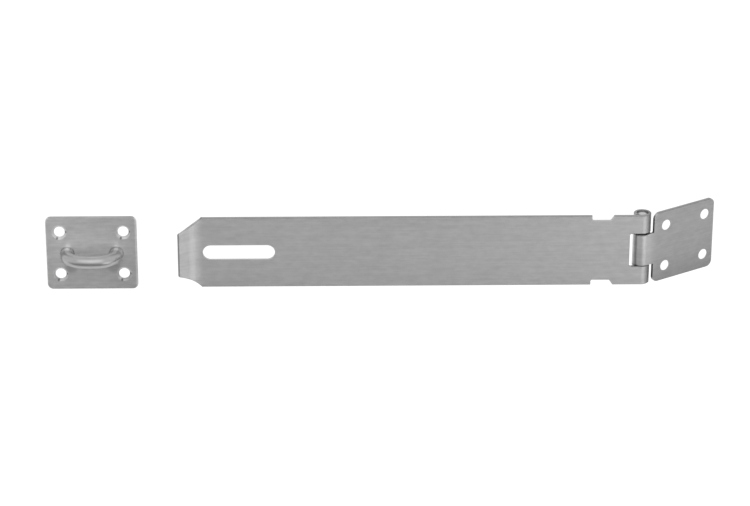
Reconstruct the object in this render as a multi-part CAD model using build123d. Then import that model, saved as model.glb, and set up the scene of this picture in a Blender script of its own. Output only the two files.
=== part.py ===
from build123d import *
import math
import os

# Millimetres. X runs along the strap towards the hinge, -Y faces the viewer, Z runs up along the pin.
# The origin is the middle of the staple plate's screw pattern, on the face that goes against the frame.

# Sheet and pin
SHEET = 1.5
STRIP_WIDTH = 40.0
STRIP_EDGE = 0.25
PIN_DIAMETER = 6.3
PIN_GRIP_GAP = 0.02
PIN_RUNNING_GAP = 0.06
PIN_RECESS = 0.6
PIN_END_CHAMFER = 0.35

# Hinge
PIN_TO_STAPLE = 292.8
OUTER_KNUCKLE = 10.6
KNUCKLE_PLAY = 1.0
KNUCKLE_REST_GAP = 0.1
ROLL_SEAM = 0.4
REST_FOLD = 33.0

# Strap, with distances along it counted from the pin axis
CUTOUT_EDGE = 6.7
CUTOUT_CORNER = 0.8
NOTCH_NEAR = 15.2
NOTCH_FLOOR_NEAR = 17.1
NOTCH_FAR = 27.0
NOTCH_DEPTH = 2.75
NOTCH_CORNER = 1.0
SLOT_NEAR = 195.5
SLOT_LENGTH = 38.4
SLOT_WIDTH = 8.4
SCALLOP_START = 234.6
SCALLOP_RADIUS = 34.0
BEND_START = 235.4
BEND_RADIUS = 11.0
TAB_ANGLE = 32.0
TAB_LENGTH = 5.9
TAB_END_WIDTH = 24.6
TAB_CORNER = 0.8

# Leaf, with distances along it counted from the pin axis
LEAF_NEAR = 4.8
LEAF_FAR = 45.7
LEAF_CORNER = 3.5
LEAF_NECK_CORNER = 0.8
LEAF_HOLE_NEAR = 12.8
LEAF_HOLE_SPACING_X = 26.4
LEAF_HOLE_SPACING_Z = 23.6

# Screw holes in the leaf and in the staple plate
SCREW_HOLE = 5.8
SCREW_SINK = 8.1
SINK_ANGLE = 90.0

# Staple plate
PLATE_LENGTH = 48.3
PLATE_HEIGHT = 41.6
PLATE_CORNER = 3.0
PLATE_EDGE = 0.4
PLATE_HOLE_SPACING_X = 33.8
PLATE_HOLE_SPACING_Z = 24.2

# Staple
BAR_DIAMETER = 6.8
FOOT_SPACING = 26.0
BOW_HEIGHT = 11.7
BOW_CORNER = 9.0
CROWN_HALF_ANGLE = 10.0
TENON_DIAMETER = 4.6
TENON_HEAD = 5.2
TENON_GAP = 0.03

# Two places or directions this close count as the same one
SAME_PLACE = 0.001

strap_bore = PIN_DIAMETER / 2 + PIN_GRIP_GAP
strap_barrel = strap_bore + SHEET
leaf_bore = PIN_DIAMETER / 2 + PIN_RUNNING_GAP
leaf_barrel = leaf_bore + SHEET
half_width = STRIP_WIDTH / 2
cutout_half = half_width - OUTER_KNUCKLE
neck_half = cutout_half - KNUCKLE_PLAY / 2
leaf_drop = KNUCKLE_PLAY / 2 - KNUCKLE_REST_GAP
hinge_place = Pos(PIN_TO_STAPLE, strap_bore, 0)


def front_plane(y):
    """Drawing plane facing the viewer at depth y: its own x is X and its own y is Z."""
    return Plane(origin=(0, y, 0), x_dir=(1, 0, 0), z_dir=(0, -1, 0))


def rolled_section(bore, barrel):
    """Section of a knuckle curled from the front sheet round the pin, ending just short of the sheet."""
    turn = 270 + math.degrees(math.asin((bore - ROLL_SEAM) / barrel))
    outer = CenterArc((0, 0), barrel, -90, turn)
    inner = CenterArc((0, 0), bore, -90, turn)
    return make_face([outer, Line(outer @ 1, inner @ 1), inner, Line(inner @ 0, outer @ 0)])


def knuckle(section, low, high):
    """Length of rolled knuckle between two heights."""
    return Pos(0, 0, low) * extrude(section, high - low)


def screw_sink():
    """Countersunk screw hole along local Z, its wide mouth at height 0 and its drill running down."""
    sink_depth = (SCREW_SINK - SCREW_HOLE) / 2 / math.tan(math.radians(SINK_ANGLE / 2))
    mouth = Pos(0, 0, -sink_depth / 2) * Cone(SCREW_HOLE / 2, SCREW_SINK / 2, sink_depth)
    return mouth + Pos(0, 0, -SHEET) * Cylinder(SCREW_HOLE / 2, 2 * SHEET)


def ease_front(body, seams):
    """Ease the outline of the widest front face, apart from the seams where it runs on into a curve."""
    facing = [face for face in body.faces().filter_by(GeomType.PLANE) if face.normal_at().Y < SAME_PLACE - 1]
    front = max(facing, key=lambda face: face.area)
    rim = [
        edge
        for edge in front.outer_wire().edges()
        if not any(math.isclose(edge.center().X, seam, abs_tol=SAME_PLACE) for seam in seams)
    ]
    return chamfer(rim, STRIP_EDGE)


def strap_path():
    """Front face of the strap in plan: flat, bend and tab, as three edges."""
    flat = Line((0, -strap_barrel), (-BEND_START, -strap_barrel))
    bend = JernArc(flat @ 1, flat % 1, BEND_RADIUS, TAB_ANGLE)
    tab = Line(bend @ 1, bend @ 1 + TAB_LENGTH * (bend % 1))
    return flat, bend, tab


def strap_outline(tab_x):
    """Outline of the strap seen square from the front, past the tab's end and out to the pin."""
    corner = (-SCALLOP_START, half_width)
    tip = (tab_x, TAB_END_WIDTH / 2)
    top_scallop = RadiusArc(corner, tip, SCALLOP_RADIUS)
    low_scallop = mirror(top_scallop, Plane.XZ)
    beyond = top_scallop @ 1 + SHEET * (top_scallop % 1)
    low_beyond = (beyond.X, -beyond.Y)
    return make_face(
        [
            Line((0, half_width), corner),
            top_scallop,
            Line(top_scallop @ 1, beyond),
            Line(beyond, low_beyond),
            Line(low_beyond, low_scallop @ 1),
            low_scallop,
            Line(low_scallop @ 0, (0, -half_width)),
            Line((0, -half_width), (0, half_width)),
        ]
    )


def strap_notch():
    """Notch in the strap's upper edge, square on the far side and sloped on the side near the pin."""
    floor = half_width - NOTCH_DEPTH
    outline = make_face(
        Polyline(
            (-NOTCH_FAR, half_width + NOTCH_DEPTH),
            (-NOTCH_FAR, floor),
            (-NOTCH_FLOOR_NEAR, floor),
            (-NOTCH_NEAR, half_width),
            (-NOTCH_NEAR, half_width + NOTCH_DEPTH),
            close=True,
        )
    )
    return fillet(outline.vertices().group_by(Axis.Y)[0], NOTCH_CORNER)


def make_strap():
    """Slotted strap with its finger tab and two rolled knuckles, about the pin axis."""
    flat, bend, tab = strap_path()
    depth = 4 * strap_barrel
    outline = extrude(front_plane(0) * strap_outline((tab @ 1).X), depth, both=True)
    sheets = []
    for edge in (flat, bend, tab):
        strip = Face.extrude(edge.edge(), (0, 0, STRIP_WIDTH)).moved(Pos(0, 0, -half_width))
        for face in (outline & strip).faces():
            sheets.append(Solid.thicken(face, SHEET, normal_override=(0, 1, 0)))
    body = sheets[0].fuse(*sheets[1:])
    tab_end = body.faces().sort_by(Axis.X)[0]
    body = fillet(tab_end.edges().sort_by(SortBy.LENGTH)[:2], TAB_CORNER)

    slot = Pos(-(SLOT_NEAR + SLOT_LENGTH / 2), 0) * SlotOverall(SLOT_LENGTH, SLOT_WIDTH)
    cutout = Pos(-CUTOUT_EDGE / 2, 0) * Rectangle(CUTOUT_EDGE, 2 * cutout_half)
    cutout = fillet(cutout.vertices().group_by(Axis.X)[0], CUTOUT_CORNER)
    notch = strap_notch()
    for opening in (slot, cutout, notch, mirror(notch, Plane.XZ)):
        body -= extrude(front_plane(0) * opening, depth, both=True)

    section = rolled_section(strap_bore, strap_barrel)
    body += knuckle(section, cutout_half, half_width)
    body += knuckle(section, -half_width, -cutout_half)
    return ease_front(body, (0, -BEND_START))


def make_leaf():
    """Fixing leaf with its rolled centre knuckle, flat side to the front and not yet folded back."""
    length = LEAF_FAR - LEAF_NEAR
    plate = Pos((LEAF_NEAR + LEAF_FAR) / 2, 0) * RectangleRounded(length, STRIP_WIDTH, LEAF_CORNER)
    neck = Pos(LEAF_NEAR / 2, 0) * Rectangle(LEAF_NEAR, 2 * neck_half)
    blank = plate + neck
    near_edge = blank.vertices().filter_by_position(Axis.X, LEAF_NEAR - SAME_PLACE, LEAF_NEAR + SAME_PLACE)
    roots = near_edge.sort_by(lambda vertex: abs(vertex.Y))[:2]
    blank = fillet(roots, LEAF_NECK_CORNER)
    body = extrude(front_plane(-leaf_barrel) * blank, -SHEET)
    middle = LEAF_HOLE_NEAR + LEAF_HOLE_SPACING_X / 2
    back = Plane(origin=(middle, -leaf_bore, 0), x_dir=(1, 0, 0), z_dir=(0, 1, 0))
    for spot in GridLocations(LEAF_HOLE_SPACING_X, LEAF_HOLE_SPACING_Z, 2, 2):
        body -= back * spot * screw_sink()
    roll = mirror(rolled_section(leaf_bore, leaf_barrel), Plane.YZ)
    body += knuckle(roll, -neck_half, neck_half)
    return ease_front(body, (0,))


def make_pin():
    """Round pin, its chamfered ends just inside the outer knuckles."""
    pin = Cylinder(PIN_DIAMETER / 2, STRIP_WIDTH - 2 * PIN_RECESS)
    ends = pin.edges().filter_by(GeomType.CIRCLE)
    return chamfer(ends, PIN_END_CHAMFER)


def make_staple_plate():
    """Fixing plate with four countersunk screw holes and two rivet holes sunk from behind."""
    outline = RectangleRounded(PLATE_LENGTH, PLATE_HEIGHT, PLATE_CORNER)
    body = extrude(front_plane(0) * outline, SHEET)
    rim = body.faces().sort_by(Axis.Y)[0].edges()
    body = chamfer(rim, PLATE_EDGE)
    front = front_plane(-SHEET)
    for spot in GridLocations(PLATE_HOLE_SPACING_X, PLATE_HOLE_SPACING_Z, 2, 2):
        body -= front * spot * screw_sink()
    for side in (-1, 1):
        body -= rivet(side * FOOT_SPACING / 2, TENON_GAP)
    return body


def rivet(x, gap):
    """Tenon of one staple foot, its head spread in the plate's back, grown all round by a gap."""
    shank_radius = TENON_DIAMETER / 2 + gap
    head_radius = TENON_HEAD / 2 + gap
    head_depth = head_radius - shank_radius
    shank = Pos(0, 0, -SHEET / 2) * Cylinder(shank_radius, SHEET)
    head = Pos(0, 0, -head_depth / 2) * Cone(shank_radius, head_radius, head_depth)
    back = Plane(origin=(x, 0, 0), x_dir=(1, 0, 0), z_dir=(0, 1, 0))
    return back * (shank + head)


def bow_path():
    """Centre line of the staple from one foot over the crown to the other, in plan."""
    crown_angle = math.radians(CROWN_HALF_ANGLE)
    corner_x = FOOT_SPACING / 2 - BOW_CORNER
    crown_extra = corner_x / math.sin(crown_angle)
    crown_radius = BOW_CORNER + crown_extra
    rise = crown_radius - crown_extra * math.cos(crown_angle)
    foot = -SHEET
    shoulder = foot - (BOW_HEIGHT - rise)
    leg = Line((-FOOT_SPACING / 2, foot), (-FOOT_SPACING / 2, shoulder))
    corner = JernArc(leg @ 1, leg % 1, BOW_CORNER, 90 - CROWN_HALF_ANGLE)
    crown = JernArc(corner @ 1, corner % 1, crown_radius, 2 * CROWN_HALF_ANGLE)
    last_corner = JernArc(crown @ 1, crown % 1, BOW_CORNER, 90 - CROWN_HALF_ANGLE)
    last_leg = Line(last_corner @ 1, (FOOT_SPACING / 2, foot))
    return Wire([leg.edge(), corner.edge(), crown.edge(), last_corner.edge(), last_leg.edge()])


def make_staple():
    """Bent round bar with shouldered feet and riveted tenons."""
    path = bow_path()
    start = Plane(origin=path @ 0, z_dir=path % 0)
    bar = sweep(start * Circle(BAR_DIAMETER / 2), path)
    for side in (-1, 1):
        bar += rivet(side * FOOT_SPACING / 2, 0)
    return bar


os.makedirs("parts", exist_ok=True)
export_step(hinge_place * make_strap(), "parts/hasp_strap.step")
export_step(hinge_place * Pos(0, 0, -leaf_drop) * Rot(0, 0, REST_FOLD) * make_leaf(), "parts/hinge_leaf.step")
export_step(hinge_place * make_pin(), "parts/hinge_pin.step")
export_step(make_staple_plate(), "parts/staple_plate.step")
export_step(make_staple(), "parts/staple.step")
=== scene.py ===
import math

import bpy
from mathutils import Matrix, Vector


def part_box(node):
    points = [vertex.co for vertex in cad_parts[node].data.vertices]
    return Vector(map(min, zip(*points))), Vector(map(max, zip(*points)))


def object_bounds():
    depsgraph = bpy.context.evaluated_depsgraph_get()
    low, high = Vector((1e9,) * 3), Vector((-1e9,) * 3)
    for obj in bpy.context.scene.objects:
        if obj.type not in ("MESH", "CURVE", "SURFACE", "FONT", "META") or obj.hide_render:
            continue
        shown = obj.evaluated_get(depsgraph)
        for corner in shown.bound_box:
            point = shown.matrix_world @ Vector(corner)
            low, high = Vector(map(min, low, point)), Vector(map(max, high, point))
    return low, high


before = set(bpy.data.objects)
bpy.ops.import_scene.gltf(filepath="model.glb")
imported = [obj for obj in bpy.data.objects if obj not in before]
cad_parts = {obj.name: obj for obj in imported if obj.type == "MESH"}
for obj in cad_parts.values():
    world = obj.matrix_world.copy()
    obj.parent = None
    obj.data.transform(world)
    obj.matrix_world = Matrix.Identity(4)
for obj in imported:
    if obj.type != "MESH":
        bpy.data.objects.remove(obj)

bl_info = {
    "name": "Hinged hasp",
    "version": (1, 0, 0),
    "blender": (4, 5, 0),
    "location": "3D View > Sidebar > Hasp",
    "description": "Brushed steel finishes and a plain studio for a hinged hasp with its staple",
    "category": "Object",
}

CAD_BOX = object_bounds()
IMAGE_WIDTH = 750
SENSOR_WIDTH = 36.0

# Sockets of a colour Mix node, whose names repeat for its other data types
MIX_FACTOR = 0
MIX_FIRST = 6
MIX_SECOND = 7
MIX_RESULT = 2

# Height of a dark card over the floor
FLAG_LIFT = 0.01

# Turn of the gloss, counted in whole turns
QUARTER_TURN = 0.25

# Gloss that spreads alike in all directions
EVEN_SPREAD = 0.0

NO_GLOW = (0, 0, 0, 1)

# Steps of detail in the noise patterns, and the strength of each step against the one before
FINE_DETAIL = 2.0
BROAD_DETAIL = 3.0
CLOUD_DETAIL = 4.0
NOISE_ROUGHNESS = 0.6

# Shares of fine lines, broad streaks and smudges in the grain, and the sums that read as darkest and lightest
FINE_SHARE = 0.35
BROAD_SHARE = 0.25
SMUDGE_SHARE = 0.4
GRAIN_DARKEST = 0.3
GRAIN_LIGHTEST = 0.7

# Mean of a pattern that runs from 0 to 1, and how far such a pattern changes each finish's roughness
PATTERN_MEAN = 0.5
BRUSH_ROUGHENING = 0.12
BAR_ROUGHENING = 0.08
PIN_ROUGHENING = 0.1

# Unevenness of the tool rings on the pin
RING_WOBBLE = 1.5
RING_DETAIL = 1.0

# Soft lamps: places, points faced and sizes in metres, power in watts
TOP_SOFTBOX = {
    "place": (-0.05, -1.03, 0.86),
    "target": (0, 0, 0),
    "width": 1.0,
    "height": 1.1,
    "power": 2.1,
}
FRONT_SOFTBOX = {
    "place": (0.64, -0.72, -0.2),
    "target": (0.06, 0, 0),
    "width": 0.6,
    "height": 0.36,
    "power": 0.94,
}


class Value:
    """A shader socket that takes part in Python arithmetic by adding Math nodes."""

    def __init__(self, finish, socket):
        self.finish = finish
        self.socket = socket

    def math(self, operation, first, second):
        """Result of one Math node on two values."""
        node = self.finish.node("ShaderNodeMath", {"operation": operation}, {0: first, 1: second})
        return self.finish.value(node, 0)

    def __add__(self, other):
        return self.math("ADD", self, other)

    def __radd__(self, other):
        return self.math("ADD", other, self)

    def __sub__(self, other):
        return self.math("SUBTRACT", self, other)

    def __rsub__(self, other):
        return self.math("SUBTRACT", other, self)

    def __mul__(self, other):
        return self.math("MULTIPLY", self, other)

    def __rmul__(self, other):
        return self.math("MULTIPLY", other, self)

    def __gt__(self, other):
        return self.math("GREATER_THAN", self, other)

    def __lt__(self, other):
        return self.math("LESS_THAN", self, other)

    def __abs__(self):
        return self.math("ABSOLUTE", self, 0)


class Finish:
    """Node tree of one material or world, built node by node."""

    def __init__(self, owner):
        self.owner = owner
        self.owner.use_nodes = True
        self.tree = self.owner.node_tree
        self.tree.nodes.clear()

    def node(self, kind, settings, sockets):
        """New node of that kind, its settings made first and then its sockets set or linked."""
        node = self.tree.nodes.new(kind)
        for name, setting in settings.items():
            setattr(node, name, setting)
        for name, given in sockets.items():
            if isinstance(given, Value):
                self.tree.links.new(given.socket, node.inputs[name])
            else:
                node.inputs[name].default_value = given
        return node

    def value(self, node, output):
        """One output of a node, ready for arithmetic or for another node's socket."""
        return Value(self, node.outputs[output])

    def object_place(self):
        """Place on the piece in metres, in the frame of the part."""
        return self.value(self.node("ShaderNodeTexCoord", {}, {}), "Object")

    def axes(self, place):
        """The three coordinates of a place as values."""
        node = self.node("ShaderNodeSeparateXYZ", {}, {"Vector": place})
        return [self.value(node, axis) for axis in ("X", "Y", "Z")]

    def streaks(self, place, lengths, detail):
        """Noise drawn out to the given lengths along X, Y and Z, from 0 to 1."""
        scale = [1 / length for length in lengths]
        scaled = self.node("ShaderNodeVectorMath", {"operation": "MULTIPLY"}, {0: place, 1: scale})
        noise = self.node(
            "ShaderNodeTexNoise",
            {"noise_dimensions": "3D"},
            {"Vector": self.value(scaled, 0), "Scale": 1.0, "Detail": detail, "Roughness": NOISE_ROUGHNESS},
        )
        return self.value(noise, 0)

    def ramp(self, value, low, high):
        """Smooth rise from 0 at low to 1 at high."""
        node = self.node(
            "ShaderNodeMapRange",
            {"interpolation_type": "SMOOTHSTEP"},
            {"Value": value, "From Min": low, "From Max": high},
        )
        return self.value(node, 0)

    def grey(self, value):
        """Grey colour of the given strength."""
        node = self.node("ShaderNodeCombineColor", {}, {"Red": value, "Green": value, "Blue": value})
        return self.value(node, 0)

    def tint(self, colour, tone):
        """A colour made lighter or darker by a tone."""
        node = self.node(
            "ShaderNodeMix",
            {"data_type": "RGBA", "blend_type": "MULTIPLY"},
            {MIX_FACTOR: 1.0, MIX_FIRST: colour, MIX_SECOND: self.grey(tone)},
        )
        return self.value(node, MIX_RESULT)

    def steel(self, colour, roughness, height, depth, spread):
        """Metal surface with relief of the given depth, its gloss spread up and down by level brush lines."""
        bump = self.node("ShaderNodeBump", {}, {"Strength": 1.0, "Distance": depth, "Height": height})
        shader = self.node(
            "ShaderNodeBsdfPrincipled",
            {},
            {
                "Base Color": colour,
                "Metallic": 1.0,
                "Roughness": roughness,
                "Anisotropic": spread,
                "Anisotropic Rotation": QUARTER_TURN,
                "Normal": self.value(bump, 0),
            },
        )
        self.node("ShaderNodeOutputMaterial", {}, {"Surface": self.value(shader, 0)})

    def matt(self, colour, glow):
        """Matt surface with some light of its own."""
        shader = self.node(
            "ShaderNodeBsdfPrincipled",
            {},
            {
                "Base Color": colour,
                "Roughness": 1.0,
                "Specular IOR Level": 0.0,
                "Emission Color": glow,
                "Emission Strength": 1.0,
            },
        )
        self.node("ShaderNodeOutputMaterial", {}, {"Surface": self.value(shader, 0)})


def graining(finish, place, contrast, look):
    """Brush lines, broad streaks and smudges as a tone about 1, and the fine lines alone from 0 to 1."""
    fine = finish.streaks(place, (look.brush_length, look.brush_length, look.brush_pitch), FINE_DETAIL)
    broad = finish.streaks(place, (look.band_length, look.band_length, look.band_pitch), BROAD_DETAIL)
    smudge = finish.streaks(place, (look.smudge_length, look.smudge_length, look.smudge_pitch), BROAD_DETAIL)
    mixed = FINE_SHARE * fine + BROAD_SHARE * broad + SMUDGE_SHARE * smudge
    grain = finish.ramp(mixed, GRAIN_DARKEST, GRAIN_LIGHTEST)
    return 1 + contrast * (2 * grain - 1), fine


def brushed_steel(finish, piece, colour, contrast, fade, hump, marks, look):
    """Sheet steel with level brushing, top and bottom edges darker partly for their sheared dullness and
    partly as painted shade, painted light and shade from top to bottom, and its own marks.
    """
    low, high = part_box(piece)
    middle = (low.z + high.z) / 2
    half = (high.z - low.z) / 2
    place = finish.object_place()
    _, _, height = finish.axes(place)
    rise = height - middle
    grain, fine = graining(finish, place, contrast, look)
    # Painted light and shade: each piece is made lighter towards its top and darker at its top and bottom,
    # for how the lamps fall on it.
    fading = 1 + rise * (fade / half) - rise * rise * (hump / half**2)
    # Top and bottom edges darker: partly the sheared steel's own dullness, partly painted shade in place of
    # the dark reflection their faces show.
    sheared = 1 - (1 - look.edge_dullness_and_shade) * (abs(rise) > half - look.sheared_depth)
    base = finish.tint(colour, grain * fading * sheared * marks)
    roughness = look.brush_roughness + BRUSH_ROUGHENING * (fine - PATTERN_MEAN)
    finish.steel(base, roughness, fine, look.brush_depth, look.brush_spread)


def pin_middle():
    """Middle of the hinge pin."""
    low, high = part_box("hinge_pin")
    return (low + high) / 2


def spot(finish, aside, above, radius):
    """1 in the middle of a round spot, falling softly to 0 at its radius."""
    return 1 - finish.ramp(aside * aside + above * above, 0, radius**2)


def scallop(along, height, look):
    """1 on the sheared edges of the two scallops beside the tab and 0 elsewhere."""
    low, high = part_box("hasp_strap")
    corner = Vector((look.scallop_start, high.z))
    tip = Vector((low.x, look.tab_width / 2))
    chord = tip - corner
    outward = Vector((chord.y, -chord.x)).normalized()
    centre = (corner + tip) / 2 + outward * math.sqrt(look.scallop_radius**2 - chord.length_squared / 4)
    beside = along - centre.x
    above = abs(height) - centre.y
    return beside * beside + above * above < (look.scallop_radius + look.sheared_depth) ** 2


def strap_marks(finish, look):
    """Tone of the strap's marks: painted highlights on the tab and along its bend, a darker sheared end and
    scallop edges, partly their own dullness and partly painted shade, and painted shade down the knuckles'
    right side and along the slit.
    """
    low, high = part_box("hasp_strap")
    along, _, height = finish.axes(finish.object_place())
    # Painted highlight on the tab.
    painted_highlight = 1 - finish.ramp(along, low.x + look.tab_reach / 2, low.x + look.tab_reach)
    # Painted highlight in a band along the bend into the tab.
    left_of_bend = finish.ramp(along, look.bend_place - look.bend_reach, look.bend_place)
    right_of_bend = finish.ramp(along, look.bend_place, look.bend_place + look.bend_reach)
    bright = (1 + look.tab_painted_highlight * painted_highlight) * (1 + look.bend_painted_highlight * left_of_bend * (1 - right_of_bend))
    # Painted shade on the tab's sheared end, and scallop edges darker partly for their dullness and partly as
    # painted shade.
    end = along < low.x + look.tab_end_depth
    edge = scallop(along, height, look) * finish.ramp(along, low.x, low.x + look.tab_reach / 2)
    sheared = (1 - (1 - look.end_dullness_and_shade) * end) * (1 - (1 - look.edge_dullness_and_shade) * edge)
    # Painted shade down the right side of the strap's knuckles and along the slit between them.
    side = finish.ramp(along, high.x - look.knuckle_side_shade_reach, high.x)
    near_slit = abs(height) < look.slit_height / 2 + look.slit_shade_width
    slit = near_slit * (along > pin_middle().x - look.slit_length)
    knuckle_shade = (1 - look.knuckle_painted_shade * side) * (1 - look.knuckle_painted_shade * slit)
    return bright * sheared * knuckle_shade


def leaf_marks(finish, look):
    """Tone of the leaf's marks: a painted highlight where it leaves its roll, painted shade on its sheared
    near edges, and painted shade down its knuckle's left side and along the slits.
    """
    low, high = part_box("hinge_leaf")
    along, across, height = finish.axes(finish.object_place())
    rise = abs(height - (low.z + high.z) / 2)
    pin = pin_middle()
    # Painted highlight on the leaf where it leaves its roll.
    crest = pin.x + look.roll_reach / 4
    left_of_crest = finish.ramp(along, pin.x, crest)
    right_of_crest = finish.ramp(along, crest, pin.x + look.roll_reach)
    bright = 1 + look.roll_painted_highlight * left_of_crest * (1 - right_of_crest)
    # Painted shade, with some of the sheared steel's own dullness, on the leaf's near edges.
    from_pin = (along - pin.x) * math.cos(look.leaf_fold) + (across - pin.y) * math.sin(look.leaf_fold)
    edge = (from_pin < look.leaf_start + look.sheared_depth / 4) * (rise > look.knuckle_height / 2)
    sheared = 1 - (1 - look.end_dullness_and_shade) * edge
    # Painted shade down the left side of the leaf's knuckle and along the slits.
    near = finish.ramp(along, low.x + look.leaf_side_shade_reach / 4, low.x + look.leaf_side_shade_reach / 2)
    far = finish.ramp(along, low.x + look.leaf_side_shade_reach, low.x + 2 * look.leaf_side_shade_reach)
    near_slit = rise > look.knuckle_height / 2 - look.slit_shade_width
    slit = near_slit * (along < pin.x + look.slit_length / 2)
    knuckle_shade = (1 - look.knuckle_painted_shade * near * (1 - far)) * (1 - look.knuckle_painted_shade * slit)
    return bright * sheared * knuckle_shade


def specks(finish, along, height, look):
    """1 in the middle of the painted dark reflections, small specks in the plate's countersinks alike in all
    four, and 0 elsewhere.
    """
    wide, tall = look.screw_spacing
    from_hole = along + wide / 2 - wide * (along > 0)
    over_hole = height + tall / 2 - tall * (height > 0)
    low = spot(finish, from_hole - look.low_speck[0], over_hole - look.low_speck[1], look.speck_radius)
    side = spot(finish, from_hole - look.side_speck[0], over_hole - look.side_speck[1], look.speck_radius)
    return low + side


def plate_marks(finish, look):
    """Tone of the plate's marks: countersinks with painted dark reflections, painted light about the staple's
    feet, painted shade round the feet and under the staple's shoulders, a painted highlight down its right
    edge and painted shade towards its right side.
    """
    _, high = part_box("staple_plate")
    along, across, height = finish.axes(finish.object_place())
    front = across < high.y - look.sheared_depth
    wide, tall = look.screw_spacing
    aside = abs(along) - wide / 2
    above = abs(height) - tall / 2
    sink = aside * aside + above * above < look.sink_radius**2
    # Painted light on the plate about the staple's feet.
    beside = (abs(along) - look.patch_spacing / 2) * look.patch_squeeze
    painted_lit = spot(finish, beside, height - look.patch_rise, look.patch_radius)
    bright = (1 + (look.sink_shade - 1) * sink * front) * (1 + look.patch_painted_light * painted_lit * front)
    # Painted shade round each staple foot where it meets the plate.
    outward = abs(along) - look.foot_spacing / 2
    from_foot = outward * outward + height * height
    foot_shade = 1 - finish.ramp(from_foot, look.foot_shade_radius**2 / 2, look.foot_shade_radius**2)
    # Painted shade on the plate under the staple's shoulders.
    shoulder_shade = spot(finish, abs(along) - look.shoulder_shade_spacing / 2, height + look.shoulder_shade_drop, look.shoulder_shade_radius)
    dark = (1 - look.foot_shade_strength * foot_shade * front) * (1 - look.shoulder_shade_strength * shoulder_shade * front)
    # Painted dark reflections in the countersinks.
    specked = 1 - look.speck_shade * specks(finish, along, height, look) * front
    # Painted shade: the plate darkens towards its right side.
    toward_right = finish.ramp(along, 0, high.x)
    # Painted highlight down the plate's right edge.
    edge = along > high.x - look.edge_reach
    sides = (1 - look.right_side_painted_shade * toward_right) * (1 + look.edge_painted_highlight * edge)
    return bright * dark * specked * sides


def drawn_bar_steel(finish, look):
    """Round bar with a satin surface, faint clouds from bending, and painted light on its feet and along its
    top.
    """
    _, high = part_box("staple")
    place = finish.object_place()
    _, across, height = finish.axes(place)
    grain, fine = graining(finish, place, look.streak_contrast, look)
    clouds = finish.streaks(place, (look.cloud_size, look.cloud_size, look.cloud_size), CLOUD_DETAIL)
    # Painted light on the staple's feet.
    foot = finish.ramp(across, high.y - look.foot_reach, high.y - look.foot_reach / 2)
    # Painted highlight along the bar's top.
    top = finish.ramp(height, high.z - look.top_reach, high.z - look.top_reach / 4)
    base = finish.tint(look.bar_colour, grain * (1 + look.foot_painted_light * foot) * (1 + look.top_painted_highlight * top))
    roughness = look.bar_roughness + BAR_ROUGHENING * (clouds - PATTERN_MEAN)
    finish.steel(base, roughness, fine, look.brush_depth, EVEN_SPREAD)


def turned_pin_steel(finish, look):
    """Pin with tool rings about the hinge axis and painted shade round the rims of its ends, down in the
    knuckles.
    """
    mapping = finish.node(
        "ShaderNodeMapping",
        {"vector_type": "POINT"},
        {"Vector": finish.object_place(), "Location": -pin_middle()},
    )
    centred = finish.value(mapping, 0)
    rings = finish.node(
        "ShaderNodeTexWave",
        {"wave_type": "RINGS", "rings_direction": "Z"},
        {
            "Vector": centred,
            "Scale": 1 / look.ring_pitch,
            "Distortion": RING_WOBBLE,
            "Detail": RING_DETAIL,
        },
    )
    ring = finish.value(rings, 1)
    along, across, _ = finish.axes(centred)
    # Painted shade round the rim of each pin end, where it sits down in the knuckle.
    rim_shaded = finish.ramp(along * along + across * across, look.rim_shade_start**2, look.rim_shade_end**2)
    grain = 1 + look.streak_contrast * (2 * ring - 1)
    base = finish.tint(look.pin_colour, grain * (1 - look.rim_shade_strength * rim_shaded))
    roughness = look.brush_roughness + PIN_ROUGHENING * (ring - PATTERN_MEAN)
    finish.steel(base, roughness, ring, look.brush_depth, EVEN_SPREAD)


def coat(finish, name):
    """Give a CAD node a finish in place of the plain one that it comes with."""
    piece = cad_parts[name]
    piece.data.materials.clear()
    piece.data.materials.append(finish.owner)


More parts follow.
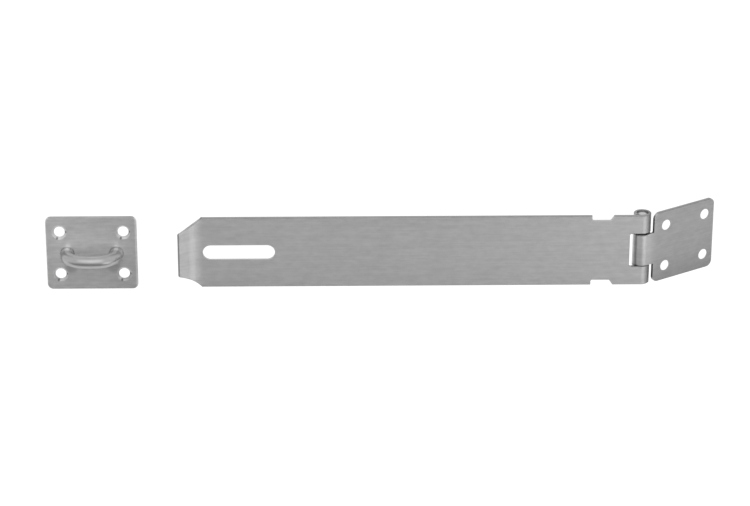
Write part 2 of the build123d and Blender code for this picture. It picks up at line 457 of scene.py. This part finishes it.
class HaspFinishes(bpy.types.PropertyGroup):
    """Colours, grain and marks of the steel, most of the marks painted light and shade."""

    strap_colour: bpy.props.FloatVectorProperty(
        name="Strap colour", description="Steel of the strap",
        subtype="COLOR", size=4, min=0, max=1, default=(0.494, 0.494, 0.494, 1),
    )
    leaf_colour: bpy.props.FloatVectorProperty(
        name="Leaf colour", description="Steel of the leaf",
        subtype="COLOR", size=4, min=0, max=1, default=(0.468, 0.468, 0.468, 1),
    )
    plate_colour: bpy.props.FloatVectorProperty(
        name="Plate colour", description="Steel of the staple plate",
        subtype="COLOR", size=4, min=0, max=1, default=(0.522, 0.522, 0.522, 1),
    )
    bar_colour: bpy.props.FloatVectorProperty(
        name="Bar colour", description="Steel of the staple's bent bar",
        subtype="COLOR", size=4, min=0, max=1, default=(0.388, 0.388, 0.388, 1),
    )
    pin_colour: bpy.props.FloatVectorProperty(
        name="Pin colour", description="Steel of the hinge pin",
        subtype="COLOR", size=4, min=0, max=1, default=(0.58, 0.58, 0.58, 1),
    )
    streak_contrast: bpy.props.FloatProperty(
        name="Streak contrast",
        description="How far the grain lightens and darkens all but the staple plate",
        subtype="FACTOR", min=0, max=1, default=0.1,
    )
    plate_contrast: bpy.props.FloatProperty(
        name="Plate contrast", description="How far the grain lightens and darkens the staple plate",
        subtype="FACTOR", min=0, max=1, default=0.13,
    )
    brush_length: bpy.props.FloatProperty(
        name="Brush length", description="Length of a fine brush line", unit="LENGTH", default=0.02,
    )
    brush_pitch: bpy.props.FloatProperty(
        name="Brush pitch", description="Width of a fine brush line", unit="LENGTH", default=0.0007,
    )
    brush_depth: bpy.props.FloatProperty(
        name="Brush depth", description="Depth of the brush lines", unit="LENGTH", default=0.00001,
    )
    brush_roughness: bpy.props.FloatProperty(
        name="Brush roughness", description="Mean roughness of the brushed faces",
        subtype="FACTOR", min=0, max=1, default=0.46,
    )
    brush_spread: bpy.props.FloatProperty(
        name="Brush spread",
        description="How much more the gloss spreads across the brush lines than along them",
        subtype="FACTOR", min=0, max=1, default=0.7,
    )
    band_length: bpy.props.FloatProperty(
        name="Band length", description="Length of a broad streak", unit="LENGTH", default=0.12,
    )
    band_pitch: bpy.props.FloatProperty(
        name="Band pitch", description="Width of a broad streak", unit="LENGTH", default=0.002,
    )
    smudge_length: bpy.props.FloatProperty(
        name="Smudge length", description="Length of a fine smudge", unit="LENGTH", default=0.005,
    )
    smudge_pitch: bpy.props.FloatProperty(
        name="Smudge pitch", description="Height of a fine smudge", unit="LENGTH", default=0.0025,
    )
    cloud_size: bpy.props.FloatProperty(
        name="Cloud size", description="Size of the bar's faint clouds", unit="LENGTH", default=0.02,
    )
    # The fades and humps below are painted light and shade: each piece lighter towards its top and darker at
    # its top and bottom.
    strap_fade: bpy.props.FloatProperty(
        name="Strap fade", description="How much lighter the strap is at its top than halfway down",
        subtype="FACTOR", min=0, max=1, default=0.03,
    )
    leaf_fade: bpy.props.FloatProperty(
        name="Leaf fade", description="How much lighter the leaf is at its top than halfway down",
        subtype="FACTOR", min=0, max=1, default=0.13,
    )
    strap_hump: bpy.props.FloatProperty(
        name="Strap hump", description="How much darker the strap's top and bottom are than its middle",
        subtype="FACTOR", min=0, max=1, default=0.03,
    )
    leaf_hump: bpy.props.FloatProperty(
        name="Leaf hump", description="How much darker the leaf's top and bottom are than its middle",
        subtype="FACTOR", min=0, max=1, default=0.13,
    )
    plate_fade: bpy.props.FloatProperty(
        name="Plate fade",
        description="How much lighter the staple plate is at its top than halfway down",
        subtype="FACTOR", min=0, max=1, default=0.09,
    )
    plate_hump: bpy.props.FloatProperty(
        name="Plate hump", description="How much darker the plate's top and bottom are than its middle",
        subtype="FACTOR", min=0, max=1, default=0,
    )
    screw_spacing: bpy.props.FloatVectorProperty(
        name="Screw spacing", description="Between the plate's screw holes, along and up", unit="LENGTH",
        subtype="XYZ", size=2, default=(0.0338, 0.0242),
    )
    sink_radius: bpy.props.FloatProperty(
        name="Sink radius", description="Radius of a countersink's mouth",
        unit="LENGTH", default=0.00405,
    )
    sink_shade: bpy.props.FloatProperty(
        name="Sink shade", description="Brightness of a countersink against the brushed face",
        subtype="FACTOR", min=0, max=2, default=1.1,
    )
    # The specks are painted dark reflections in the countersinks.
    low_speck: bpy.props.FloatVectorProperty(
        name="Low speck", description="From a screw hole's middle to the speck low in its countersink",
        unit="LENGTH", subtype="XYZ", size=2, default=(-0.00127, -0.0035),
    )
    side_speck: bpy.props.FloatVectorProperty(
        name="Side speck",
        description="From a screw hole's middle to the speck at the right of its countersink",
        unit="LENGTH", subtype="XYZ", size=2, default=(0.00329, 0.0001),
    )
    speck_radius: bpy.props.FloatProperty(
        name="Speck radius", description="Reach of a dark speck", unit="LENGTH", default=0.0008,
    )
    speck_shade: bpy.props.FloatProperty(
        name="Speck shade", description="How much darker the middle of a speck is",
        subtype="FACTOR", min=0, max=1, default=0.65,
    )
    foot_spacing: bpy.props.FloatProperty(
        name="Foot spacing", description="Between the middles of the staple's feet",
        unit="LENGTH", default=0.026,
    )
    # Painted shade in a dark line round each staple foot.
    foot_shade_radius: bpy.props.FloatProperty(
        name="Crevice radius", description="Reach of the dark line round a foot",
        unit="LENGTH", default=0.0044,
    )
    foot_shade_strength: bpy.props.FloatProperty(
        name="Crevice shade", description="How much darker the plate is close to a foot",
        subtype="FACTOR", min=0, max=1, default=0.5,
    )
    # The patches are painted light on the plate about the staple's feet.
    patch_spacing: bpy.props.FloatProperty(
        name="Patch spacing", description="Between the polished patches at the staple's feet",
        unit="LENGTH", default=0.016,
    )
    patch_radius: bpy.props.FloatProperty(
        name="Patch radius", description="Height of a polished patch at a foot",
        unit="LENGTH", default=0.013,
    )
    patch_squeeze: bpy.props.FloatProperty(
        name="Patch squeeze", description="Height of a polished patch against its width",
        subtype="FACTOR", min=0, max=1, default=0.8,
    )
    patch_rise: bpy.props.FloatProperty(
        name="Patch rise", description="Middle of a polished patch above the plate's middle",
        unit="LENGTH", default=0.004,
    )
    patch_painted_light: bpy.props.FloatProperty(
        name="Patch shine", description="How much brighter a polished patch is",
        subtype="FACTOR", min=0, max=1, default=0.1,
    )
    # The stains are painted shade on the plate under the staple's shoulders.
    shoulder_shade_spacing: bpy.props.FloatProperty(
        name="Stain spacing", description="Between the stains under the staple's shoulders",
        unit="LENGTH", default=0.0224,
    )
    shoulder_shade_drop: bpy.props.FloatProperty(
        name="Stain drop", description="Middle of a stain below the plate's middle",
        unit="LENGTH", default=0.0078,
    )
    shoulder_shade_radius: bpy.props.FloatProperty(
        name="Stain radius", description="Reach of a stain", unit="LENGTH", default=0.0046,
    )
    shoulder_shade_strength: bpy.props.FloatProperty(
        name="Stain shade", description="How much darker the plate is in the middle of a stain",
        subtype="FACTOR", min=0, max=1, default=0.24,
    )
    # Painted shade: the plate darkens towards its right side.
    right_side_painted_shade: bpy.props.FloatProperty(
        name="Side dullness", description="How much darker the plate's right side is",
        subtype="FACTOR", min=0, max=1, default=0.12,
    )
    scallop_start: bpy.props.FloatProperty(
        name="Scallop start", description="Where the strap's scallops begin, along the strap",
        unit="LENGTH", default=0.0582,
    )
    scallop_radius: bpy.props.FloatProperty(
        name="Scallop radius", description="Radius of the scallops beside the tab",
        unit="LENGTH", default=0.034,
    )
    tab_width: bpy.props.FloatProperty(
        name="Tab width", description="Width of the tab's end", unit="LENGTH", default=0.0246,
    )
    # Painted shade on the knuckles: down the left side of the leaf's knuckle, the right side of the strap's
    # knuckles, and along the slits between knuckles.
    leaf_side_shade_reach: bpy.props.FloatProperty(
        name="Grime reach", description="Width of the grime down the left side of the leaf's knuckle",
        unit="LENGTH", default=0.0013,
    )
    knuckle_side_shade_reach: bpy.props.FloatProperty(
        name="Side reach", description="Width of the grime down the right side of the strap's knuckles",
        unit="LENGTH", default=0.0032,
    )
    knuckle_painted_shade: bpy.props.FloatProperty(
        name="Grime shade", description="How much darker the grimy places are",
        subtype="FACTOR", min=0, max=1, default=0.42,
    )
    slit_height: bpy.props.FloatProperty(
        name="Slit height", description="Between the strap's two knuckles",
        unit="LENGTH", default=0.0188,
    )
    slit_length: bpy.props.FloatProperty(
        name="Slit length", description="From the pin to the far end of the grimy slit",
        unit="LENGTH", default=0.0055,
    )
    slit_shade_width: bpy.props.FloatProperty(
        name="Slit grime", description="Width of the grime along a slit", unit="LENGTH", default=0.0004,
    )
    knuckle_height: bpy.props.FloatProperty(
        name="Knuckle height", description="Height of the leaf's knuckle", unit="LENGTH", default=0.0178,
    )
    leaf_fold: bpy.props.FloatProperty(
        name="Leaf fold", description="Turn of the leaf back from the strap's line",
        unit="ROTATION", default=math.radians(33.0),
    )
    leaf_start: bpy.props.FloatProperty(
        name="Leaf start", description="From the pin to the leaf's near edges, along the leaf",
        unit="LENGTH", default=0.0048,
    )
    # Painted highlight on the leaf where it leaves its roll.
    roll_reach: bpy.props.FloatProperty(
        name="Roll reach", description="From the pin to the end of the burnished band on the leaf",
        unit="LENGTH", default=0.0095,
    )
    roll_painted_highlight: bpy.props.FloatProperty(
        name="Roll shine", description="How much brighter the leaf is where it leaves its roll",
        subtype="FACTOR", min=0, max=1, default=0.25,
    )
    # Painted highlight down the plate's right edge.
    edge_reach: bpy.props.FloatProperty(
        name="Edge reach", description="Width of the plate's rubbed right edge",
        unit="LENGTH", default=0.001,
    )
    edge_painted_highlight: bpy.props.FloatProperty(
        name="Edge shine", description="How much brighter the plate's rubbed right edge is",
        subtype="FACTOR", min=0, max=1, default=0.35,
    )
    # Painted light on the staple's feet.
    foot_reach: bpy.props.FloatProperty(
        name="Foot reach", description="Length of the staple's bright feet",
        unit="LENGTH", default=0.0065,
    )
    foot_painted_light: bpy.props.FloatProperty(
        name="Foot shine", description="How much brighter the staple's feet are",
        subtype="FACTOR", min=0, max=1, default=0.9,
    )
    # Painted highlight on the tab, standing in for the gloss of the lamps.
    tab_reach: bpy.props.FloatProperty(
        name="Tab reach", description="Length of the tab that fingers have rubbed bright",
        unit="LENGTH", default=0.016,
    )
    tab_painted_highlight: bpy.props.FloatProperty(
        name="Tab shine", description="How much brighter the rubbed tab is",
        subtype="FACTOR", min=0, max=1, default=0.03,
    )
    # Painted highlight in a band along the bend into the tab.
    bend_place: bpy.props.FloatProperty(
        name="Bend place", description="Where the bend into the tab is burnished, along the strap",
        unit="LENGTH", default=0.0558,
    )
    bend_reach: bpy.props.FloatProperty(
        name="Bend reach", description="From the middle of the burnished band to its edges",
        unit="LENGTH", default=0.0035,
    )
    bend_painted_highlight: bpy.props.FloatProperty(
        name="Bend shine", description="How much brighter the burnished band is",
        subtype="FACTOR", min=0, max=1, default=0.16,
    )
    # Painted shade, with some of the sheared steel's own dullness, on the tab's end and the leaf's near
    # edges.
    tab_end_depth: bpy.props.FloatProperty(
        name="Tab end depth", description="Reach of the sheared end of the tab",
        unit="LENGTH", default=0.0008,
    )
    end_dullness_and_shade: bpy.props.FloatProperty(
        name="Tab end shade",
        description="Brightness of the tab's end and the leaf's near edges against the brushed face",
        subtype="FACTOR", min=0, max=2, default=0.45,
    )
    # Sheared edges read darker partly for their own dullness and partly as painted shade.
    sheared_depth: bpy.props.FloatProperty(
        name="Sheared edge depth", description="Reach of a sheared edge into the face",
        unit="LENGTH", default=0.0004,
    )
    edge_dullness_and_shade: bpy.props.FloatProperty(
        name="Sheared edge shade", description="Brightness of a sheared edge against the brushed face",
        subtype="FACTOR", min=0, max=2, default=0.65,
    )
    bar_roughness: bpy.props.FloatProperty(
        name="Bar roughness", description="Mean roughness of the bent bar",
        subtype="FACTOR", min=0, max=1, default=0.31,
    )
    # Painted highlight along the bar's top.
    top_reach: bpy.props.FloatProperty(
        name="Top reach", description="Height of the bar's top that a shackle has rubbed bright",
        unit="LENGTH", default=0.0003,
    )
    top_painted_highlight: bpy.props.FloatProperty(
        name="Top shine", description="How much brighter the bar's rubbed top is",
        subtype="FACTOR", min=0, max=1, default=0.35,
    )
    # The oil is painted shade round the rims of the pin's ends, down in the knuckles.
    rim_shade_start: bpy.props.FloatProperty(
        name="Oil start", description="Radius at which the dark oil on a pin's end begins",
        unit="LENGTH", default=0.0013,
    )
    rim_shade_end: bpy.props.FloatProperty(
        name="Oil end", description="Radius at which the oil on a pin's end is darkest",
        unit="LENGTH", default=0.0026,
    )
    rim_shade_strength: bpy.props.FloatProperty(
        name="Oil shade", description="How much darker the oiled steel is",
        subtype="FACTOR", min=0, max=1, default=0.7,
    )
    ring_pitch: bpy.props.FloatProperty(
        name="Ring pitch", description="Spacing of the tool rings on the pin",
        unit="LENGTH", default=0.0006,
    )


class HaspStudio(bpy.types.PropertyGroup):
    """Floor, dark cards, sky and camera."""

    floor_drop: bpy.props.FloatProperty(
        name="Floor drop", description="Distance from the part's lowest point to the floor",
        unit="LENGTH", default=0.4,
    )
    floor_reach: bpy.props.FloatProperty(
        name="Floor reach", description="From the part to the floor's edges",
        unit="LENGTH", default=15.0,
    )
    flag_front: bpy.props.FloatProperty(
        name="Flag in front", description="From the part to the dark card in front of it",
        unit="LENGTH", default=0.3,
    )
    flag_right: bpy.props.FloatProperty(
        name="Flag at the right", description="From the part to the dark card at its right",
        unit="LENGTH", default=0.62,
    )
    flag_size: bpy.props.FloatProperty(
        name="Flag size", description="From the part to the dark cards' left, right and back edges",
        unit="LENGTH", default=2.1,
    )
    flag_reach: bpy.props.FloatProperty(
        name="Flag reach", description="From the part to the far edge of the dark card in front of it",
        unit="LENGTH", default=6.0,
    )
    shade_start: bpy.props.FloatProperty(
        name="Shade start",
        description="Where the dark card at the right gives way to the darker one, front to back",
        unit="LENGTH", default=-0.1,
    )
    flag_colour: bpy.props.FloatVectorProperty(
        name="Flag colour", description="Dark cards that only the steel's gloss shows",
        subtype="COLOR", size=4, min=0, max=1, default=(0.35, 0.35, 0.35, 1),
    )
    shade_colour: bpy.props.FloatVectorProperty(
        name="Shade colour", description="Darker card at the right that only the steel's gloss shows",
        subtype="COLOR", size=4, min=0, max=1, default=(0.02, 0.02, 0.02, 1),
    )
    floor_colour: bpy.props.FloatVectorProperty(
        name="Floor colour", description="Pale floor",
        subtype="COLOR", size=4, min=0, max=1, default=(0.9, 0.9, 0.9, 1),
    )
    floor_glow: bpy.props.FloatProperty(
        name="Floor glow",
        description="Light added to the floor where it is seen, so that it reads as white",
        subtype="FACTOR", min=0, max=1, default=0.15,
    )
    sky_colour: bpy.props.FloatVectorProperty(
        name="Sky colour", description="Even light all round",
        subtype="COLOR", size=4, min=0, max=1, default=(1, 1, 1, 1),
    )
    camera_target: bpy.props.FloatVectorProperty(
        name="Camera target", description="Point in the middle of the picture", subtype="TRANSLATION",
        unit="LENGTH", size=3, default=(0.150485, -0.0015, -0.000704),
    )
    camera_distance: bpy.props.FloatProperty(
        name="Camera distance", description="From the camera to its target",
        unit="LENGTH", default=1.596827,
    )
    camera_elevation: bpy.props.FloatProperty(
        name="Camera elevation", description="Height of the camera above the horizon",
        unit="ROTATION", default=math.radians(24.0),
    )
    camera_yaw: bpy.props.FloatProperty(
        name="Camera yaw", description="Turn of the camera towards the hinge",
        unit="ROTATION", default=math.radians(1.0),
    )
    camera_roll: bpy.props.FloatProperty(
        name="Camera roll", description="Tilt of the picture",
        unit="ROTATION", default=math.radians(0.0935),
    )
    focal_pixels: bpy.props.FloatProperty(
        name="Focal length", description="Focal length in pixels of the picture",
        subtype="PIXEL", default=3000.0,
    )


class HASP_OT_finish_strip(bpy.types.Operator):
    """Brushed finish on the strap and the leaf"""

    bl_idname = "hasp.finish_strip"
    bl_label = "Finish strap and leaf"

    def execute(self, context):
        look = context.scene.hasp_finishes
        strap = Finish(bpy.data.materials.new("strap_steel_brushed"))
        brushed_steel(
            strap,
            "hasp_strap",
            colour=look.strap_colour,
            contrast=look.streak_contrast,
            fade=look.strap_fade,
            hump=look.strap_hump,
            marks=strap_marks(strap, look),
            look=look,
        )
        coat(strap, "hasp_strap")
        leaf = Finish(bpy.data.materials.new("leaf_steel_brushed"))
        brushed_steel(
            leaf,
            "hinge_leaf",
            colour=look.leaf_colour,
            contrast=look.streak_contrast,
            fade=look.leaf_fade,
            hump=look.leaf_hump,
            marks=leaf_marks(leaf, look),
            look=look,
        )
        coat(leaf, "hinge_leaf")
        return {"FINISHED"}


class HASP_OT_finish_plate(bpy.types.Operator):
    """Brushed finish on the staple plate"""

    bl_idname = "hasp.finish_plate"
    bl_label = "Finish staple plate"

    def execute(self, context):
        look = context.scene.hasp_finishes
        plate = Finish(bpy.data.materials.new("plate_steel_brushed"))
        brushed_steel(
            plate,
            "staple_plate",
            colour=look.plate_colour,
            contrast=look.plate_contrast,
            fade=look.plate_fade,
            hump=look.plate_hump,
            marks=plate_marks(plate, look),
            look=look,
        )
        coat(plate, "staple_plate")
        return {"FINISHED"}


class HASP_OT_finish_staple(bpy.types.Operator):
    """Satin finish on the staple's bent bar"""

    bl_idname = "hasp.finish_staple"
    bl_label = "Finish staple"

    def execute(self, context):
        look = context.scene.hasp_finishes
        bar = Finish(bpy.data.materials.new("bar_steel_satin"))
        drawn_bar_steel(bar, look)
        coat(bar, "staple")
        return {"FINISHED"}


class HASP_OT_finish_pin(bpy.types.Operator):
    """Turned finish on the hinge pin"""

    bl_idname = "hasp.finish_pin"
    bl_label = "Finish hinge pin"

    def execute(self, context):
        look = context.scene.hasp_finishes
        pin = Finish(bpy.data.materials.new("pin_steel_turned"))
        turned_pin_steel(pin, look)
        coat(pin, "hinge_pin")
        return {"FINISHED"}


def make_card(name, low, high, finish):
    """Level rectangle of the studio between two corners."""
    middle = (low + high) / 2
    sides = high - low
    bpy.ops.mesh.primitive_plane_add(size=1)
    card = bpy.context.object
    card.name = name
    card.data.transform(Matrix.Translation(middle) @ Matrix.Diagonal((sides.x, sides.y, 1, 1)))
    card.data.materials.append(finish.owner)
    return card


def make_floor(studio):
    """Pale floor below the part, which takes its shadow."""
    finish = Finish(bpy.data.materials.new("studio_floor_pale"))
    rays = finish.node("ShaderNodeLightPath", {}, {})
    mirrored = finish.value(rays, "Is Glossy Ray") + finish.value(rays, "Is Transmission Ray")
    seen = finish.value(rays, "Is Camera Ray") + mirrored
    finish.matt(studio.floor_colour, finish.grey(studio.floor_glow * seen))
    low, high = CAD_BOX
    reach = studio.floor_reach
    level = low.z - studio.floor_drop
    near_corner = Vector((low.x - reach, low.y - reach, level))
    far_corner = Vector((high.x + reach, high.y + reach, level))
    make_card("studio_floor", near_corner, far_corner, finish)


def make_flags(studio):
    """Dark cards just above the floor, in front and at the right, seen by the steel alone."""
    flag = Finish(bpy.data.materials.new("studio_flag_dark"))
    flag.matt(studio.flag_colour, NO_GLOW)
    shade = Finish(bpy.data.materials.new("studio_shade_dark"))
    shade.matt(studio.shade_colour, NO_GLOW)
    low, high = CAD_BOX
    level = low.z - studio.floor_drop + FLAG_LIFT
    left = low.x - studio.flag_size
    right = high.x + studio.flag_right
    far_right = high.x + studio.flag_size
    far_front = low.y - studio.flag_reach
    front = low.y - studio.flag_front
    seam = studio.shade_start
    back = high.y + studio.flag_size
    cards = (
        make_card("front_flag", Vector((left, far_front, level)), Vector((far_right, front, level)), flag),
        make_card("right_flag", Vector((right, front, level)), Vector((far_right, seam, level)), flag),
        make_card("right_shade", Vector((right, seam, level)), Vector((far_right, back, level)), shade),
    )
    for card in cards:
        card.visible_camera = False
        card.visible_diffuse = False
        card.visible_shadow = False


def make_sky(studio):
    """Even white light from all round."""
    sky = Finish(bpy.data.worlds.new("studio_sky"))
    background = sky.node("ShaderNodeBackground", {}, {"Color": studio.sky_colour, "Strength": 1.0})
    sky.node("ShaderNodeOutputWorld", {}, {"Surface": sky.value(background, 0)})
    bpy.context.scene.world = sky.owner


def make_lamp(name, place, target, width, height, power):
    """Soft rectangular lamp that faces a point."""
    lamp = bpy.data.lights.new(name, "AREA")
    lamp.shape = "RECTANGLE"
    lamp.size = width
    lamp.size_y = height
    lamp.energy = power
    holder = bpy.data.objects.new(name, lamp)
    bpy.context.scene.collection.objects.link(holder)
    aim = Vector(target) - Vector(place)
    holder.matrix_world = Matrix.Translation(place) @ aim.to_track_quat("-Z", "Y").to_matrix().to_4x4()
    holder.visible_camera = False


def make_camera(studio):
    """Camera at the photograph's viewing angle."""
    forward = Vector((
        math.sin(studio.camera_yaw) * math.cos(studio.camera_elevation),
        math.cos(studio.camera_yaw) * math.cos(studio.camera_elevation),
        -math.sin(studio.camera_elevation),
    ))
    level = Vector((math.cos(studio.camera_yaw), -math.sin(studio.camera_yaw), 0))
    upright = level.cross(forward)
    right = level * math.cos(studio.camera_roll) + upright * math.sin(studio.camera_roll)
    up = right.cross(forward)
    view = bpy.data.cameras.new("studio_camera")
    view.sensor_width = SENSOR_WIDTH
    view.lens = studio.focal_pixels / IMAGE_WIDTH * SENSOR_WIDTH
    camera = bpy.data.objects.new("studio_camera", view)
    bpy.context.scene.collection.objects.link(camera)
    turn = Matrix((right, up, -forward)).transposed().to_4x4()
    place = Vector(studio.camera_target) - forward * studio.camera_distance
    camera.matrix_world = Matrix.Translation(place) @ turn
    bpy.context.scene.camera = camera


class HASP_OT_set_stage(bpy.types.Operator):
    """Floor, dark cards, sky, lamps and camera"""

    bl_idname = "hasp.set_stage"
    bl_label = "Set stage"

    def execute(self, context):
        studio = context.scene.hasp_studio
        context.scene.view_settings.view_transform = "Standard"
        make_floor(studio)
        make_flags(studio)
        make_sky(studio)
        make_lamp("top_softbox", **TOP_SOFTBOX)
        make_lamp("front_softbox", **FRONT_SOFTBOX)
        make_camera(studio)
        return {"FINISHED"}


class HASP_PT_sidebar(bpy.types.Panel):
    """Finishes and stage of the hasp"""

    bl_idname = "HASP_PT_sidebar"
    bl_label = "Hasp"
    bl_space_type = "VIEW_3D"
    bl_region_type = "UI"
    bl_category = "Hasp"

    def draw(self, context):
        layout = self.layout
        for operator in OPERATORS:
            layout.operator(operator.bl_idname)
        for group in (context.scene.hasp_finishes, context.scene.hasp_studio):
            box = layout.box()
            for name in group.bl_rna.properties.keys():
                if name not in ("rna_type", "name"):
                    box.prop(group, name)


OPERATORS = (
    HASP_OT_finish_strip,
    HASP_OT_finish_plate,
    HASP_OT_finish_staple,
    HASP_OT_finish_pin,
    HASP_OT_set_stage,
)
CLASSES = (HaspFinishes, HaspStudio, *OPERATORS, HASP_PT_sidebar)


def register():
    for part in CLASSES:
        bpy.utils.register_class(part)
    bpy.types.Scene.hasp_finishes = bpy.props.PointerProperty(type=HaspFinishes)
    bpy.types.Scene.hasp_studio = bpy.props.PointerProperty(type=HaspStudio)


def unregister():
    del bpy.types.Scene.hasp_studio
    del bpy.types.Scene.hasp_finishes
    for part in reversed(CLASSES):
        bpy.utils.unregister_class(part)


def main():
    register()
    bpy.ops.hasp.finish_strip()
    bpy.ops.hasp.finish_plate()
    bpy.ops.hasp.finish_staple()
    bpy.ops.hasp.finish_pin()
    bpy.ops.hasp.set_stage()


if __name__ == "__main__":
    main()
